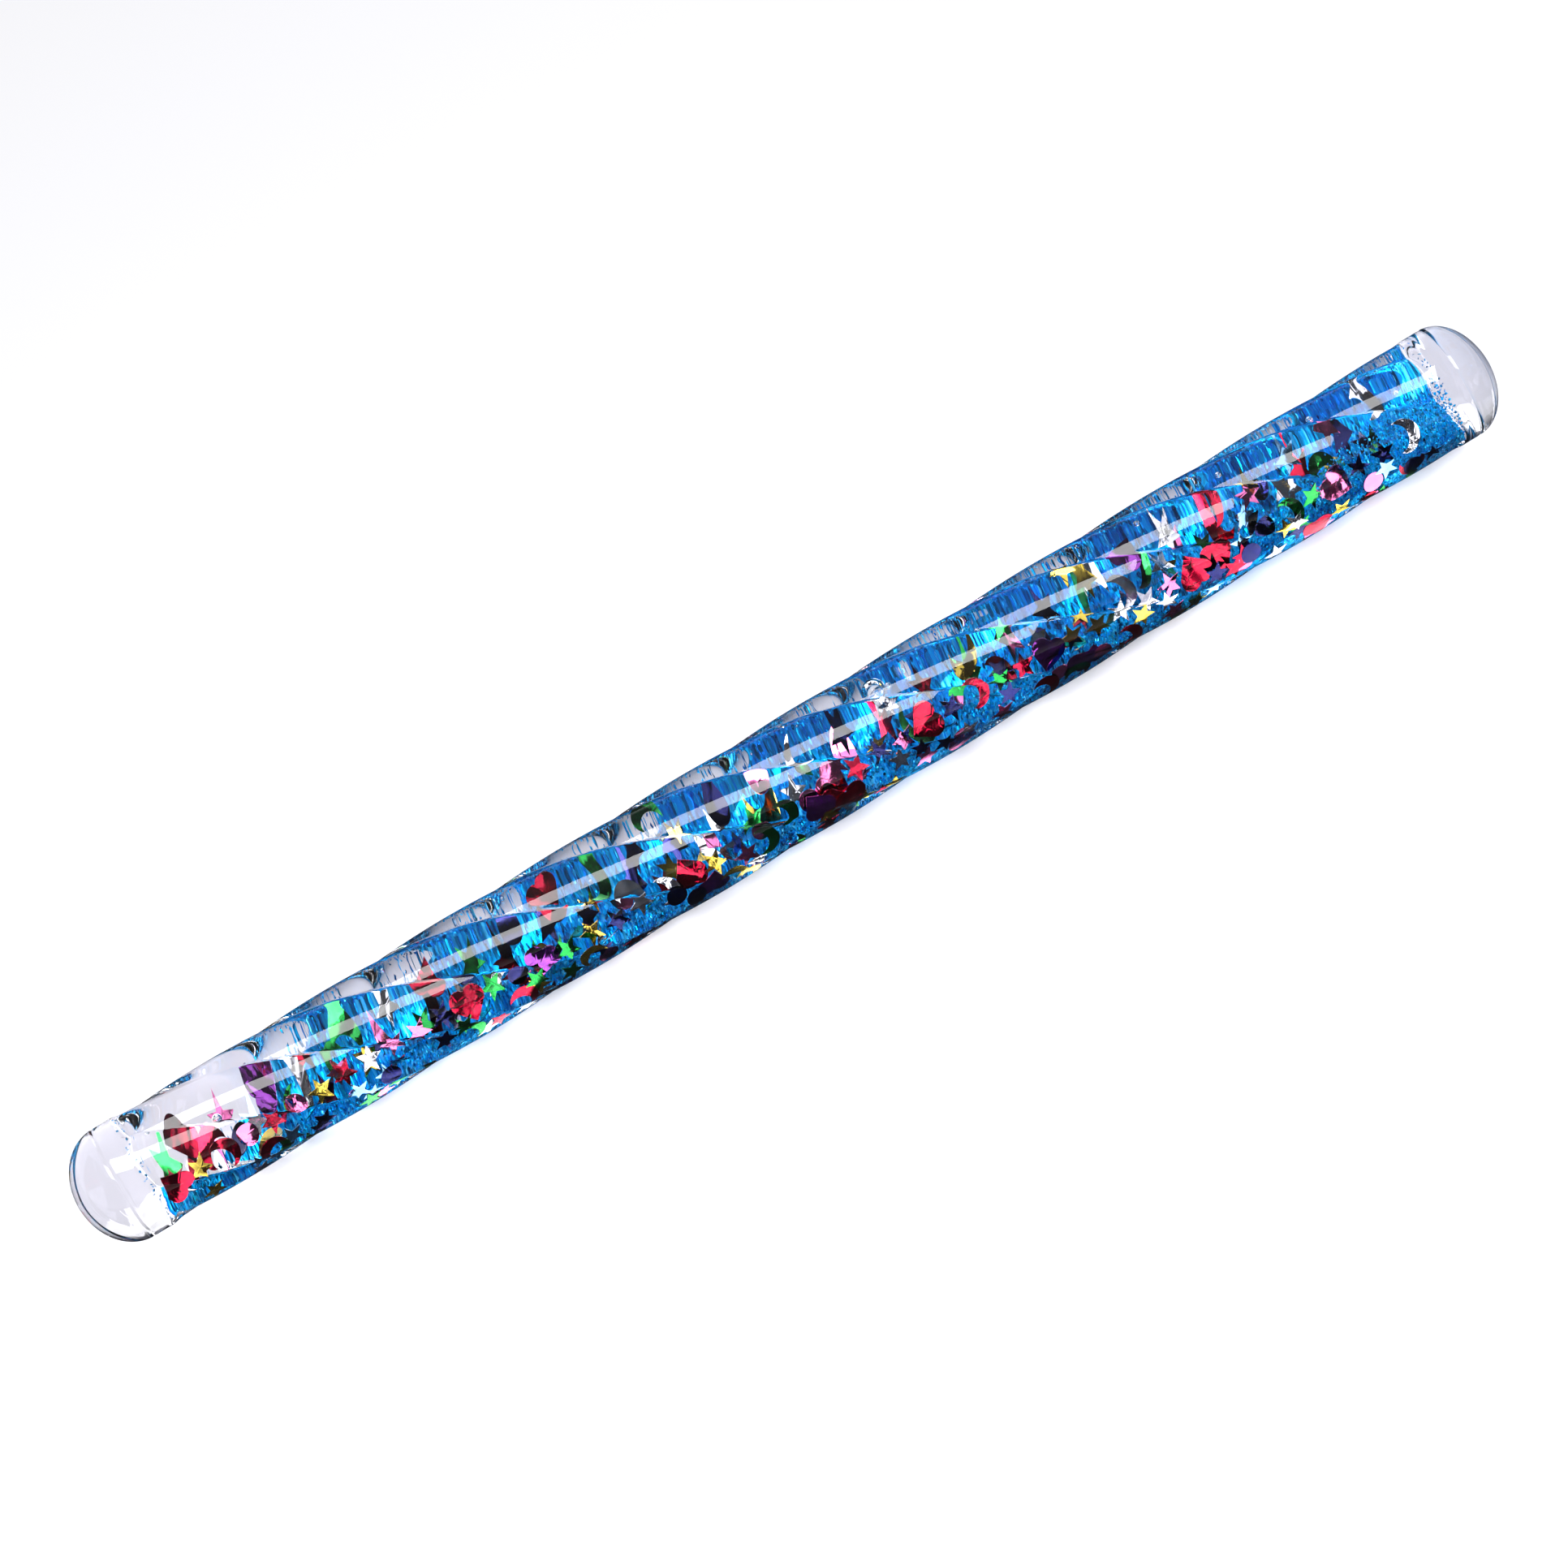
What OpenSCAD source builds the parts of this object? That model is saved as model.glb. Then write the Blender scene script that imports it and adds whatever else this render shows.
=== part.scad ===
// Spiral glitter wand: a sealed clear tube of oil, blue glitter and foil confetti.
// The wand lies along X, +Z is up, and the origin is the middle of its axis.
// The filling has settled at the bottom, and five flakes still float above it.

/* [Wand] */
// Overall length, from the tip of one dome to the tip of the other
wand_length = 300; // [240:5:360]
// Diameter over the crests of the spiral lobes
lobe_d = 22.1; // [22:0.1:30]
// Number of lobes round the tube
lobe_count = 6; // [4:1:8]
// Depth of the groove between two lobes
groove_depth = 0.65; // [0.3:0.05:1.2]
// Length of the tube in which a lobe makes one full turn
twist_pitch = 150; // [100:5:300]
// Turn of the lobes about the axis where they start, at the left collar
lobe_turn = 36; // [0:1:60]

/* [Tube] */
// Wall of the tube under a groove, where it is thinnest
wall = 1.6; // [1:0.1:1.7]
// How far the plain round collar at each end stands proud of the lobes
collar_rise = 0.15; // [0.1:0.05:1]
// Length of each collar
collar_length = 5; // [3:0.5:10]

/* [End plugs] */
// Height of the left plug's dome
left_dome_height = 9.1; // [6:0.1:12]
// Height of the right plug's dome
right_dome_height = 7.9; // [6:0.1:12]
// Length of the left plug's spigot inside the bore
left_spigot_length = 2.9; // [2:0.1:8]
// Length of the right plug's spigot inside the bore
right_spigot_length = 2.1; // [2:0.1:8]
// Radial gap between a spigot and the bore, which the cement fills
spigot_clearance = 0.05; // [0.02:0.01:0.2]
// How far the inner face of a plug bulges into the oil
face_crown = 0.8; // [0:0.1:2]

/* [Glitter bed] */
// Height of the axis over the bed's surface, at the left end
bed_drop_left = 6; // [5:0.1:7]
// Height of the axis over the bed's surface, at the right end
bed_drop_right = 3.6; // [3.4:0.1:6]

/* [Confetti] */
// Diameter of a star over its points
star_d = 5; // [4:0.1:6]
// Diameter of a crescent moon
moon_d = 5.6; // [4.5:0.1:6]
// Width of a heart
heart_w = 6.6; // [5.5:0.1:7]
// Diameter of a dot
dot_d = 4; // [3:0.1:5.5]
// Length of a diamond
diamond_length = 4.4; // [3:0.1:5.5]
// Thickness of a flake
flake_thickness = 0.2; // [0.1:0.01:0.25]

/* [Fits] */
// Gap between the oil and the walls, plugs and flakes that it wets
oil_gap = 0.03; // [0.02:0.01:0.1]
// Gap between the filling and the bore
filling_gap = 0.2; // [0.1:0.05:0.5]

/* [Hidden] */

round_facets = 96;
lobe_points = 8;        // outline points on each lobe
slices_per_turn = 34;   // steps of the twist in one pitch
dome_points = 16;       // profile points on a dome
overshoot = 1;          // how far a cutting solid runs past what it cuts
heart_span = 1.05;      // a heart's circumscribed circle over its width

lobe_r = lobe_d / 2;
groove_r = lobe_r - groove_depth;
bore_r = groove_r - wall;
collar_r = lobe_r + collar_rise;

// The tube runs between the two domes
tube_left = -wand_length / 2 + left_dome_height;
tube_right = wand_length / 2 - right_dome_height;
lobed_length = tube_right - tube_left - 2 * collar_length;

// The sealed chamber runs between the crowns of the two plugs
chamber_left = tube_left + left_spigot_length + face_crown;
chamber_right = tube_right - right_spigot_length - face_crown;
chamber_length = chamber_right - chamber_left;
filling_r = bore_r - filling_gap;

// A lobe is an arc of radius lobe_arc_r, centred lobe_offset from the axis
half_lobe = 180 / lobe_count;
lobe_offset = (pow(lobe_r, 2) - pow(groove_r, 2)) / (2 * (lobe_r - groove_r * cos(half_lobe)));
lobe_arc_r = lobe_r - lobe_offset;

function from_crest(angle) = (angle + half_lobe) % (2 * half_lobe) - half_lobe;
function lobe_radius(angle) =
  let (a = from_crest(angle))
  lobe_offset * cos(a) + sqrt(pow(lobe_arc_r, 2) - pow(lobe_offset * sin(a), 2));

// ---- Layout of the settled confetti ----
// Four layers hold the flakes in rows along the wand, apart enough for any flake at any turn:
// leaning on the front wall, flat on the bed, and tipped above it in front and behind.
small_r = max(star_d, moon_d, dot_d, diamond_length) / 2;
heart_r = heart_w * heart_span / 2;
flake_gap = 0.3;                        // least gap between two layers of flakes
end_margin = heart_r + 1.4;             // from a plug's crown to the first flake's centre

tilt_scatter = 8;                       // how far flakes turn from their layer's lie, about X
pitch_scatter = 13;                     // and about Y
front_scatter = 3;                      // both, for the flakes held flat by the front wall

front_layers = 2;                       // the inner one overlaps the outer one
front_tip = heart_r * sin(front_scatter);
front_layer_step = flake_thickness + 2 * front_tip + flake_gap;
front_outer_r = sqrt(pow(filling_r, 2) - pow(heart_r, 2)) - front_tip - flake_thickness;
front_inner_r = front_outer_r - (front_layers - 1) * front_layer_step;
front_angle = 98;                       // from straight down towards the front
front_angle_sway = 7;
front_sway_rate = 3;                    // degrees of the sway's wave in each millimetre
front_pitch = 2 * heart_r + 3.3;

bed_rows = 3;
bed_row_tilt = 20;                      // the outer rows follow the round wall
bed_half_height = small_r * sin(bed_row_tilt + tilt_scatter);
bed_lift = bed_half_height + flake_thickness + flake_gap;
bed_row_half_width = small_r * cos(bed_row_tilt - tilt_scatter);
bed_row_y = front_inner_r - front_tip - flake_thickness - bed_row_half_width;
bed_spacing = 2 * small_r + 0.1;        // least distance between two flakes' centres
bed_pitch = max(bed_spacing + 1, 2 * sqrt(max(0, pow(bed_spacing, 2) - pow(bed_row_y, 2))));

upper_tilt = 12;                        // the upper flakes face the front a little
upper_half_height = heart_r * sin(upper_tilt + tilt_scatter);
upper_lift = bed_lift + bed_half_height + upper_half_height + 2 * flake_gap;
upper_pitch = small_r + heart_r + 2.5;

// The upper rows reach out almost to the flakes on the front wall
front_nearest_y = front_inner_r * sin(front_angle + front_angle_sway) - front_tip;
upper_row_y = front_nearest_y - flake_thickness - 2 * flake_gap - small_r;

bed_mix = [
  "navy_stars", "red_moons", "green_stars", "silver_stars", "navy_dots", "pink_stars", "gold_moons",
  "red_stars", "blue_stars", "green_diamonds", "navy_stars", "silver_moons", "pink_dots", "gold_stars",
  "green_moons", "red_stars", "navy_stars", "pink_diamonds", "silver_stars"
];
upper_front_mix = [
  "red_stars", "red_moons", "silver_stars", "green_moons", "pink_stars", "navy_stars", "green_stars",
  "silver_stars", "red_moons", "green_moons", "navy_stars", "silver_moons", "gold_stars", "pink_diamonds",
  "green_stars", "silver_stars", "pink_stars", "gold_stars", "navy_stars", "green_diamonds", "navy_stars",
  "silver_stars", "gold_stars", "silver_moons", "silver_stars", "green_stars", "blue_stars",
  "silver_stars", "green_moons", "navy_stars"
];
upper_back_mix = [
  "red_hearts", "pink_stars", "purple_hearts", "red_stars", "green_moons", "silver_stars", "red_hearts",
  "green_stars", "navy_dots", "red_moons", "green_moons", "navy_stars", "gold_stars", "navy_dots",
  "pink_dots", "silver_moons", "navy_stars", "silver_stars", "red_stars", "gold_moons", "green_stars",
  "navy_stars", "gold_stars", "purple_hearts", "silver_stars", "red_moons", "gold_stars", "blue_stars",
  "pink_stars", "silver_moons"
];
front_mix = [
  "red_hearts", "red_moons", "red_stars", "gold_stars", "silver_stars", "pink_stars", "red_hearts",
  "navy_dots", "green_stars", "navy_stars", "silver_moons", "gold_stars", "pink_dots", "pink_dots",
  "red_stars", "pink_stars", "navy_stars", "green_stars", "purple_hearts", "gold_stars",
  "silver_stars", "red_hearts", "blue_stars", "green_moons", "pink_hearts", "navy_stars"
];

// Repeatable scatter between -1 and 1 for flake i, one stream for each use
function scatter(i, stream) = sin(137.5 * i + 71 * stream);
// Height of the bed's sloping surface at x
function bed_level(x) =
  -bed_drop_left + (bed_drop_left - bed_drop_right) * (x - chamber_left) / chamber_length;
function row_count(pitch) = floor((chamber_length - 2 * end_margin) / pitch);
function row_x(i, pitch) = chamber_left + end_margin + pitch * i;

// A flake is [name, x, y, z, tilt about X, pitch about Y, spin about its own face]
bed_flakes = [
  for (row = [0 : bed_rows - 1], i = [0 : row_count(bed_pitch) - 1])
    let (
      n = row + bed_rows * i,
      side = row - 1,
      x = row_x(i + (side == 0 ? 0.5 : 0), bed_pitch)
    )
    [bed_mix[n % len(bed_mix)], x, side * bed_row_y, bed_level(x) + bed_lift,
     side * bed_row_tilt + tilt_scatter * scatter(n, 1), pitch_scatter * scatter(n, 2),
     180 * scatter(n, 3)]
];
upper_flakes = [
  for (row = [0, 1], i = [0 : row_count(upper_pitch) - 1])
    let (
      n = row + 2 * i,
      side = row == 0 ? -1 : 1,
      mix = row == 0 ? upper_front_mix : upper_back_mix,
      x = row_x(i + row / 2, upper_pitch)
    )
    [mix[i % len(mix)], x, side * upper_row_y, bed_level(x) + upper_lift,
     upper_tilt + tilt_scatter * scatter(n, 4), pitch_scatter * scatter(n, 5),
     180 * scatter(n, 6)]
];
front_flakes = [
  for (layer = [0 : front_layers - 1], i = [0 : row_count(front_pitch) - 1])
    let (
      n = i + 11 * layer,
      x = row_x(i + layer / front_layers, front_pitch),
      angle = front_angle + front_angle_sway * sin(front_sway_rate * x),
      r = front_outer_r - layer * front_layer_step
    )
    [front_mix[n % len(front_mix)], x, -r * sin(angle), -r * cos(angle),
     -angle + front_scatter * scatter(n, 8), front_scatter * scatter(n, 9),
     180 * scatter(n, 10)]
];
settled_flakes = concat(bed_flakes, upper_flakes, front_flakes);

// ---- Drifting flakes ----
// Each has a lane of its own above the settled ones, so it can pass along the whole chamber.
// Lanes lie on three levels, to the front (-1), in the middle (0) or to the back (1).
lane_step = 1.5;
lane_bottom = upper_lift - bed_drop_right + upper_half_height + flake_thickness + 4 * flake_gap;
function lane_y(side) = side * (small_r / 2 + star_d / 4 + flake_gap);
function lane_z(level) = lane_bottom + lane_step * level;

// Beside the lowest lanes, the flakes on the front wall leave this much room in front of the axis
lane_slack = 0.08;
front_lean = 90 - front_angle - front_angle_sway;   // of the flake that leans in most
front_room = (front_inner_r - front_tip) / cos(front_lean) + lane_bottom * tan(front_lean);
// Large stars on the lowest level move back to stay in it
low_lane_shift = max(0, lane_y(1) + star_d / 2 + lane_slack - front_room);

drifting_flakes = [
  ["drifting_silver_star", 22, lane_y(-1), lane_z(1), -6, 0, 10],
  ["drifting_gold_star", 62, lane_y(1) + low_lane_shift, lane_z(0), 6, 0, 40],
  ["drifting_green_moon", -26, lane_y(1), lane_z(1), -5, 0, -70],
  ["drifting_red_heart", -49, lane_y(0), lane_z(2), 4, 0, 20],
  ["drifting_pink_star", 98, lane_y(-1) + low_lane_shift, lane_z(0), 5, 0, 75]
];

// Whether a name holds a word, such as "star" in "gold_stars"
function letters(name, start, count) = [for (k = [0 : count - 1]) name[start + k]];
function has_word(name, word) =
  let (count = len(word), wanted = letters(word, 0, count))
  len([for (i = [0 : len(name) - count]) if (letters(name, i, count) == wanted) i]) > 0;

// Size of a flake's own outline: a diameter, a width or a length
function flake_size(name) =
  has_word(name, "star") ? star_d :
  has_word(name, "moon") ? moon_d :
  has_word(name, "heart") ? heart_w :
  has_word(name, "dot") ? dot_d : diamond_length;
// Diameter of the circle that the flake's outline fits in
function flake_span(name) = flake_size(name) * (has_word(name, "heart") ? heart_span : 1);

// ---- Shapes ----

module along_x() {
  rotate([0, 90, 0]) children();
}

module star_outline(size) {
  waist = 0.43;         // share of the reach at the inner corners
  polygon([for (i = [0 : 9]) size / 2 * (i % 2 == 0 ? 1 : waist) * [cos(36 * i), sin(36 * i)]]);
}

module moon_outline(size) {
  difference() {
    circle(d = size, $fn = round_facets);
    translate([size * 0.3, 0]) circle(d = size * 0.84, $fn = round_facets);
  }
}

// A square on its corner with a half-round on each upper side
module heart_outline(size) {
  side = size * 0.586;
  translate([0, -size * 0.1]) rotate(45) {
    square(side, center = true);
    translate([0, side / 2]) circle(d = side, $fn = round_facets);
    translate([side / 2, 0]) circle(d = side, $fn = round_facets);
  }
}

module diamond_outline(size) {
  half_width = size * 0.3;
  polygon([[size / 2, 0], [0, half_width], [-size / 2, 0], [0, -half_width]]);
}

module flake_outline(name) {
  size = flake_size(name);
  if (has_word(name, "star")) star_outline(size);
  if (has_word(name, "moon")) moon_outline(size);
  if (has_word(name, "heart")) heart_outline(size);
  if (has_word(name, "dot")) circle(d = size, $fn = round_facets);
  if (has_word(name, "diamond")) diamond_outline(size);
}

module placed(flake) {
  translate([flake[1], flake[2], flake[3]]) rotate([flake[4], flake[5], 0]) rotate(flake[6]) children();
}

module flakes(list, name) {
  for (flake = list)
    if (flake[0] == name)
      placed(flake)
        linear_extrude(flake_thickness, center = true) flake_outline(name);
}

// Room that the oil leaves round each flake
module pockets(list) {
  for (flake = list)
    placed(flake)
      cylinder(d = flake_span(flake[0]) + 2 * oil_gap, h = flake_thickness + 2 * oil_gap,
               center = true, $fn = round_facets);
}

// ---- Sub-parts ----

module lobed_outline() {
  points = lobe_points * lobe_count;
  polygon([for (i = [0 : points - 1]) let (a = 360 * i / points) lobe_radius(a) * [cos(a), sin(a)]]);
}

module tube() {
  color("aliceblue", 0.3) difference() {
    union() {
      translate([tube_left + collar_length, 0, 0]) along_x()
        linear_extrude(lobed_length, twist = -360 * lobed_length / twist_pitch,
                       slices = ceil(slices_per_turn * lobed_length / twist_pitch), convexity = 4)
          rotate(lobe_turn) lobed_outline();
      for (x = [tube_left, tube_right - collar_length])
        translate([x, 0, 0]) along_x() cylinder(r = collar_r, h = collar_length, $fn = round_facets);
    }
    translate([tube_left - overshoot, 0, 0]) along_x()
      cylinder(r = bore_r, h = tube_right - tube_left + 2 * overshoot, $fn = round_facets);
  }
}

// A plug along +Z: the dome above Z = 0, and the spigot with its crowned face below
module plug(dome_height, spigot_length) {
  spigot_r = bore_r - spigot_clearance;
  quarter = [for (i = [0 : dome_points]) 90 * i / dome_points];
  dome = [for (a = quarter) [collar_r * cos(a), dome_height * sin(a)]];
  face = [for (a = quarter) [spigot_r * sin(a), -spigot_length - face_crown * cos(a)]];
  rotate_extrude($fn = round_facets)
    polygon(concat(dome, face, [[spigot_r, 0]]));
}

module left_end_plug() {
  color("aliceblue", 0.3)
    translate([tube_left, 0, 0]) rotate([0, -90, 0]) plug(left_dome_height, left_spigot_length);
}

module right_end_plug() {
  color("aliceblue", 0.3)
    translate([tube_right, 0, 0]) along_x() plug(right_dome_height, right_spigot_length);
}

// Everything in the bore below the bed's sloping surface, grown by the given gap
module bed_shape(gap) {
  slope = atan((bed_drop_left - bed_drop_right) / chamber_length);
  bore_d = 2 * bore_r;
  intersection() {
    translate([chamber_left + filling_gap - gap, 0, 0]) along_x()
      cylinder(r = filling_r + gap, h = chamber_length - 2 * (filling_gap - gap), $fn = round_facets);
    translate([chamber_left, 0, -bed_drop_left + gap]) rotate([0, -slope, 0])
      translate([-bore_d, -bore_d, -bore_d]) cube([chamber_length + 2 * bore_d, 2 * bore_d, bore_d]);
  }
}

module glitter_bed() {
  color("dodgerblue") bed_shape(0);
}

module oil_fill() {
  color("lavender", 0.25) difference() {
    translate([chamber_left + oil_gap, 0, 0]) along_x()
      cylinder(r = bore_r - oil_gap, h = chamber_length - 2 * oil_gap, $fn = round_facets);
    bed_shape(oil_gap);
    pockets(settled_flakes);
    pockets(drifting_flakes);
  }
}

module silver_stars() { color("silver") flakes(settled_flakes, "silver_stars"); }
module gold_stars() { color("gold") flakes(settled_flakes, "gold_stars"); }
module red_stars() { color("crimson") flakes(settled_flakes, "red_stars"); }
module green_stars() { color("green") flakes(settled_flakes, "green_stars"); }
module navy_stars() { color("midnightblue") flakes(settled_flakes, "navy_stars"); }
module blue_stars() { color("lightskyblue") flakes(settled_flakes, "blue_stars"); }
module pink_stars() { color("hotpink") flakes(settled_flakes, "pink_stars"); }
module silver_moons() { color("silver") flakes(settled_flakes, "silver_moons"); }
module gold_moons() { color("gold") flakes(settled_flakes, "gold_moons"); }
module green_moons() { color("limegreen") flakes(settled_flakes, "green_moons"); }
module red_moons() { color("firebrick") flakes(settled_flakes, "red_moons"); }
module red_hearts() { color("maroon") flakes(settled_flakes, "red_hearts"); }
module purple_hearts() { color("mediumorchid") flakes(settled_flakes, "purple_hearts"); }
module pink_hearts() { color("deeppink") flakes(settled_flakes, "pink_hearts"); }
module navy_dots() { color("midnightblue") flakes(settled_flakes, "navy_dots"); }
module pink_dots() { color("pink") flakes(settled_flakes, "pink_dots"); }
module green_diamonds() { color("limegreen") flakes(settled_flakes, "green_diamonds"); }
module pink_diamonds() { color("pink") flakes(settled_flakes, "pink_diamonds"); }
module drifting_silver_star() { color("silver") flakes(drifting_flakes, "drifting_silver_star"); }
module drifting_gold_star() { color("gold") flakes(drifting_flakes, "drifting_gold_star"); }
module drifting_green_moon() { color("limegreen") flakes(drifting_flakes, "drifting_green_moon"); }
module drifting_red_heart() { color("crimson") flakes(drifting_flakes, "drifting_red_heart"); }
module drifting_pink_star() { color("hotpink") flakes(drifting_flakes, "drifting_pink_star"); }

tube();
left_end_plug();
right_end_plug();
oil_fill();
glitter_bed();
silver_stars();
gold_stars();
red_stars();
green_stars();
navy_stars();
blue_stars();
pink_stars();
silver_moons();
gold_moons();
green_moons();
red_moons();
red_hearts();
purple_hearts();
pink_hearts();
navy_dots();
pink_dots();
green_diamonds();
pink_diamonds();
drifting_silver_star();
drifting_gold_star();
drifting_green_moon();
drifting_red_heart();
drifting_pink_star();
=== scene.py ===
"""Looks of a spiral glitter wand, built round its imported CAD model. Every length is in metres."""

import math
import random

import bmesh
import bpy
from bpy.props import FloatProperty, FloatVectorProperty, IntProperty, PointerProperty
from mathutils import Matrix, Vector, noise


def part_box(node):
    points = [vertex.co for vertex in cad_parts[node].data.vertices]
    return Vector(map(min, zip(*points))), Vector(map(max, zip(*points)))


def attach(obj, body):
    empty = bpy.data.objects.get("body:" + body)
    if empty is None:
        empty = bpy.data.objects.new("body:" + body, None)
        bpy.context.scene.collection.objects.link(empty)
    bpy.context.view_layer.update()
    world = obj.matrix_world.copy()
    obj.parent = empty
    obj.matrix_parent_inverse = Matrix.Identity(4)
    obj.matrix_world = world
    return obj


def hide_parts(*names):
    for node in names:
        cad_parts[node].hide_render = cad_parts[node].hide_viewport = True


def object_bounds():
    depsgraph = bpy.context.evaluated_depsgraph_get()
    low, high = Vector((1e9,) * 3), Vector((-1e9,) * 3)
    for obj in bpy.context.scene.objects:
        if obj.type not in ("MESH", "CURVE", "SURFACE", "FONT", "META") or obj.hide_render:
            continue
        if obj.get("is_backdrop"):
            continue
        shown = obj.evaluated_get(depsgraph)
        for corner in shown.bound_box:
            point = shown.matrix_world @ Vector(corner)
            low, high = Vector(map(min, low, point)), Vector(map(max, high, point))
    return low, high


bl_info = {
    "name": "Spiral glitter wand",
    "version": (1, 0, 0),
    "blender": (4, 5, 0),
    "location": "3D View > Sidebar > Glitter Wand",
    "description": "Builds a clear spiral wand of oil, blue glitter and foil confetti round its CAD model",
    "category": "Add Mesh",
}

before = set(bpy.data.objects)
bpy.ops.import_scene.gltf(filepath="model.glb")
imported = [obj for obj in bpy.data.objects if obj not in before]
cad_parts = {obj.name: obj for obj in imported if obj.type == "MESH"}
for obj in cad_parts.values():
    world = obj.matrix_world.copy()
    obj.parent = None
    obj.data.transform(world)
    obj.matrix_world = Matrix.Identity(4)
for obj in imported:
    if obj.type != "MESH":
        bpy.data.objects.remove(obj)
CAD_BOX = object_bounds()

MM = 0.001
TUBE_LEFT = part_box("tube")[0].x
TUBE_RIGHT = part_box("tube")[1].x
COLLAR_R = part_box("tube")[1].z
LEFT_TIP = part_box("left_end_plug")[0].x
RIGHT_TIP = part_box("right_end_plug")[1].x
CHAMBER_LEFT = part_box("left_end_plug")[1].x
CHAMBER_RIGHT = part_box("right_end_plug")[0].x
CHAMBER_LENGTH = CHAMBER_RIGHT - CHAMBER_LEFT
OIL_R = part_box("oil_fill")[1].z
OIL_GAP = 0.03 * MM  # between the oil and the tube's wall
BORE_R = OIL_R + OIL_GAP
BED_R = -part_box("glitter_bed")[0].z
BED_TOP_LEFT, BED_TOP_RIGHT = -6.0 * MM, -3.6 * MM  # height of the CAD bed at each end

WAND = "wand"
CONTENTS = "contents"

# Each foil's name is its slot in the record and its colour's property. It holds its families of flakes
FOILS = {
    "silver_foil": ["silver_stars", "silver_moons"],
    "gold_foil": ["gold_stars", "gold_moons"],
    "red_foil": ["red_stars", "red_moons", "red_hearts"],
    "green_foil": ["green_stars", "green_moons", "green_diamonds"],
    "navy_foil": ["navy_stars", "navy_dots"],
    "pale_blue_foil": ["blue_stars"],
    "pink_foil": ["pink_stars", "pink_hearts", "pink_dots", "pink_diamonds"],
    "purple_foil": ["purple_hearts"],
}
# Each drifting flake: its foil, and the body it rides on
DRIFTING = {
    "drifting_silver_star": ("silver_foil", "silver_star"),
    "drifting_gold_star": ("gold_foil", "gold_star"),
    "drifting_green_moon": ("green_foil", "green_moon"),
    "drifting_red_heart": ("red_foil", "red_heart"),
    "drifting_pink_star": ("pink_foil", "pink_star"),
}


# ---- Settings ----


def length(name, description, millimetres):
    """A length that a user can change, given in millimetres."""
    return FloatProperty(
        name=name,
        description=description,
        default=millimetres * MM,
        min=0,
        precision=5,
        unit="LENGTH",
    )


def angle(name, description, degrees):
    """An angle that a user can change, given in degrees."""
    return FloatProperty(name=name, description=description, default=math.radians(degrees), subtype="ANGLE")


def colour(name, description, rgb):
    """A colour that a user can change."""
    return FloatVectorProperty(
        name=name, description=description, default=rgb, size=3, min=0, max=1, subtype="COLOR"
    )


class GLITTERWAND_PG_acrylic(bpy.types.PropertyGroup):
    lobe_count: IntProperty(name="Lobes", description="Lobes round the tube", default=6, min=3)
    groove_depth: length("Groove depth", "Depth of the groove between two lobes", 0.65)
    collar_rise: length("Collar rise", "How far a collar stands proud of the lobes", 0.15)
    collar_length: length("Collar length", "Plain round length at each end", 3.6)
    fade_length: length("Fade", "Length in which the lobes grow out of a collar", 2.6)
    twist_pitch: length("Twist pitch", "Length in which a lobe makes one turn", 150)
    lobe_turn: angle("Lobe turn", "Turn of the lobes where they start", 36)
    lobe_start: length("Lobe start", "From the tube's left end to where the lobes start", 5)
    joint_depth: length("Joint depth", "Depth of the seam between a plug and the tube", 0.16)
    tint: colour("Acrylic tint", "Colour of the clear acrylic", (0.93, 0.925, 0.96))


class GLITTERWAND_PG_filling(bpy.types.PropertyGroup):
    grain_radius: length("Grain radius", "Radius of a glitter grain", 0.29)
    grain_density: FloatProperty(
        name="Grain density", description="Grains on a square metre of the bed", default=4.6e6, min=0
    )
    glitter: colour("Glitter", "Colour of the glitter", (0.002, 0.40, 0.84))
    bubble_radius: length("Bubble radius", "Radius of the largest air bubble", 2.2)
    bubble_count: IntProperty(name="Bubbles", description="Number of air bubbles", default=16, min=0)
    seed: IntProperty(name="Seed", description="Seed of the grains, bubbles and bends", default=7)


class GLITTERWAND_PG_foils(bpy.types.PropertyGroup):
    thickness: FloatProperty(
        name="Thickness share", description="Share of the CAD thickness that a flake keeps", default=0.45
    )
    bend: length("Bend radius", "Least radius that a flake is bent to", 6)
    lean: angle("Lean", "Most that a flake leans from its place in its layer", 18)
    pressed: FloatProperty(
        name="Pressed share", description="Pressed flakes for each settled one in the CAD", default=0.5
    )
    silver_foil: colour("Silver", "Colour of the silver foil", (0.86, 0.87, 0.90))
    gold_foil: colour("Gold", "Colour of the gold foil", (0.80, 0.60, 0.08))
    red_foil: colour("Red", "Colour of the red foil", (0.48, 0.005, 0.035))
    green_foil: colour("Green", "Colour of the green foil", (0.014, 0.34, 0.055))
    navy_foil: colour("Navy", "Colour of the navy foil", (0.012, 0.014, 0.10))
    pale_blue_foil: colour("Pale blue", "Colour of the pale blue foil", (0.28, 0.62, 0.95))
    pink_foil: colour("Pink", "Colour of the pink foil", (0.92, 0.22, 0.50))
    purple_foil: colour("Purple", "Colour of the purple foil", (0.30, 0.06, 0.42))


class GLITTERWAND_PG_studio(bpy.types.PropertyGroup):
    floor: colour("Floor", "Colour of the floor", (0.66, 0.66, 0.68))
    softbox_power: FloatProperty(name="Softbox power", description="Power in watts", default=14.0, min=0)
    elevation: angle("Elevation", "Height of the camera over the horizon", 43)
    swing: angle("Swing", "Turn of the camera towards the left end", 5.7)
    roll: angle("Roll", "How far the wand rises to the right in the picture", 31.1)
    distance: length("Distance", "From the camera to the middle of the wand", 1000)
    focal_length: FloatProperty(
        name="Focal length", description="Camera's focal length in millimetres", default=126.0, min=10
    )


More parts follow.
